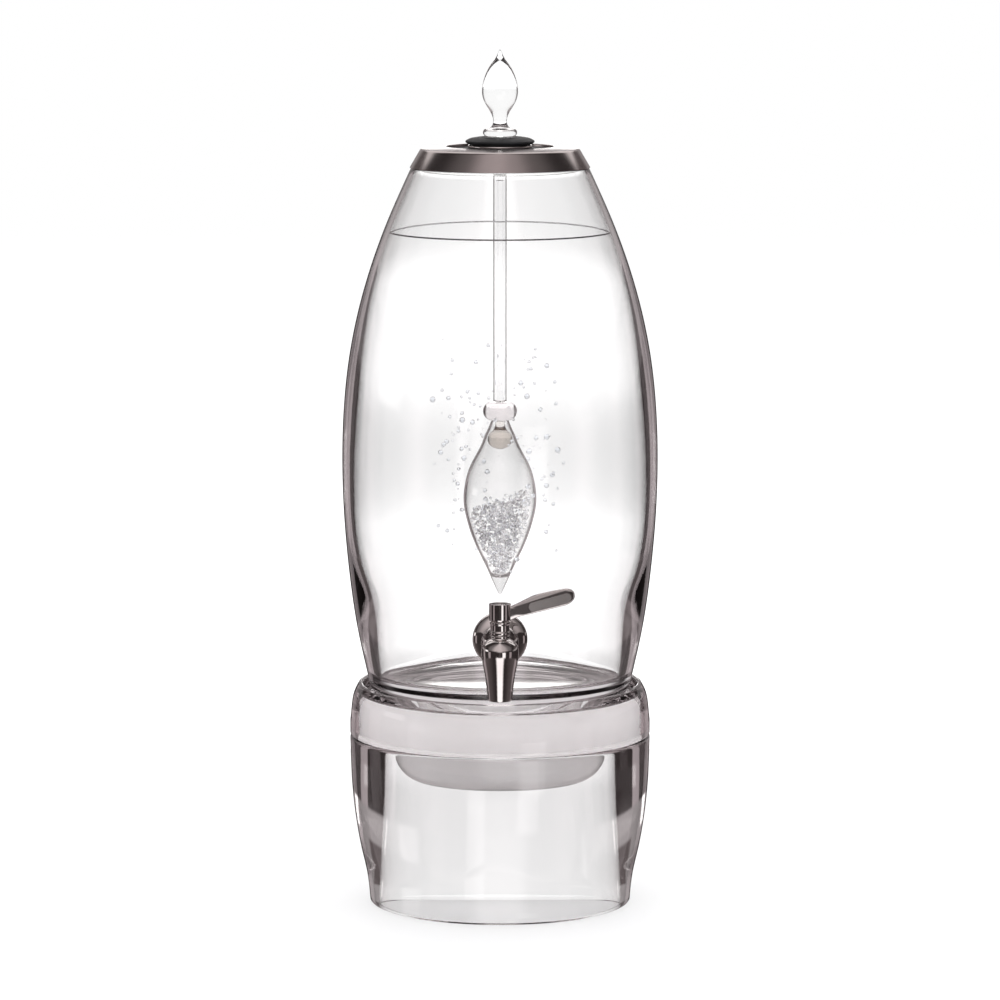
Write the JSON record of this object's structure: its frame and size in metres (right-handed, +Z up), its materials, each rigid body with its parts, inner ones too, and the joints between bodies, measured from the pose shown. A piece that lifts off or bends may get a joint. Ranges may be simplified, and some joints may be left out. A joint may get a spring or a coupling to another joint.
{
  "type": "countertop water dispenser",
  "caption": "Barrel-shaped clear glass water dispenser with a polished lever tap, on a glass dish and ring stand, with a metal lid and a chip-filled glass vial on a rod.",
  "frame": {"origin": "centre of the bounding box's bottom face, on the table; the vessel's own axis stands 22.3 mm behind it", "axes": "+Z up; the tap points to -Y and its closed lever to +X"},
  "size_m": [0.227, 0.2716, 0.6154],
  "materials": {
    "clear_glass": "polished, clear",
    "frosted_glass": "clear outside, satin-frosted inside",
    "mauve_glass": "polished, faint mauve tint",
    "crystal": "rough chips",
    "polished_steel": "mirror polished",
    "gunmetal": "satin, warm grey",
    "black_silicone": "matt",
    "clear_silicone": "translucent, matt"
  },
  "bodies": {
    "stand": {"stand": "clear_glass"},
    "dish": {"dish": "frosted_glass"},
    "vessel": {"vessel": "clear_glass", "tap_body": "polished_steel", "tap_shank": "polished_steel", "rosette": "polished_steel", "washer_outer": "black_silicone", "washer_inner": "black_silicone", "lock_nut": "polished_steel", "tap_bonnet": "polished_steel", "valve_seals": "black_silicone"},
    "lid": {"lid_ring": "gunmetal", "lid_seal": "clear_silicone"},
    "vial_unit": {"stopper": "black_silicone", "stopper_ring": "polished_steel", "finial": "clear_glass", "rod": "clear_glass", "bead": "mauve_glass", "vial": "clear_glass", "vial_plug": "mauve_glass", "crystal_chips": "crystal"},
    "lever": {"lever": "polished_steel", "lever_inlay_front": "gunmetal", "lever_inlay_back": "gunmetal", "cap_screw": "polished_steel", "valve_plug": "polished_steel"}
  },
  "joints": [
    {"name": "dish_lift", "type": "slide", "parent": "stand", "child": "dish", "axis": [0, 0, 1], "range_m": [0, 0.06]},
    {"name": "vessel_lift", "type": "slide", "parent": "dish", "child": "vessel", "axis": [0, 0, 1], "range_m": [0, 0.06]},
    {"name": "lid_lift", "type": "slide", "parent": "vessel", "child": "lid", "axis": [0, 0, 1], "range_m": [0, 0.34]},
    {"name": "vial_lift", "type": "slide", "parent": "lid", "child": "vial_unit", "axis": [0, 0, 1], "range_m": [0, 0.36]},
    {"name": "lever_turn", "type": "hinge", "parent": "vessel", "child": "lever", "pos_m": [0, -0.1227, 0.232], "axis": [0, 0, 1], "range_deg": [-90, 0]}
  ]
}
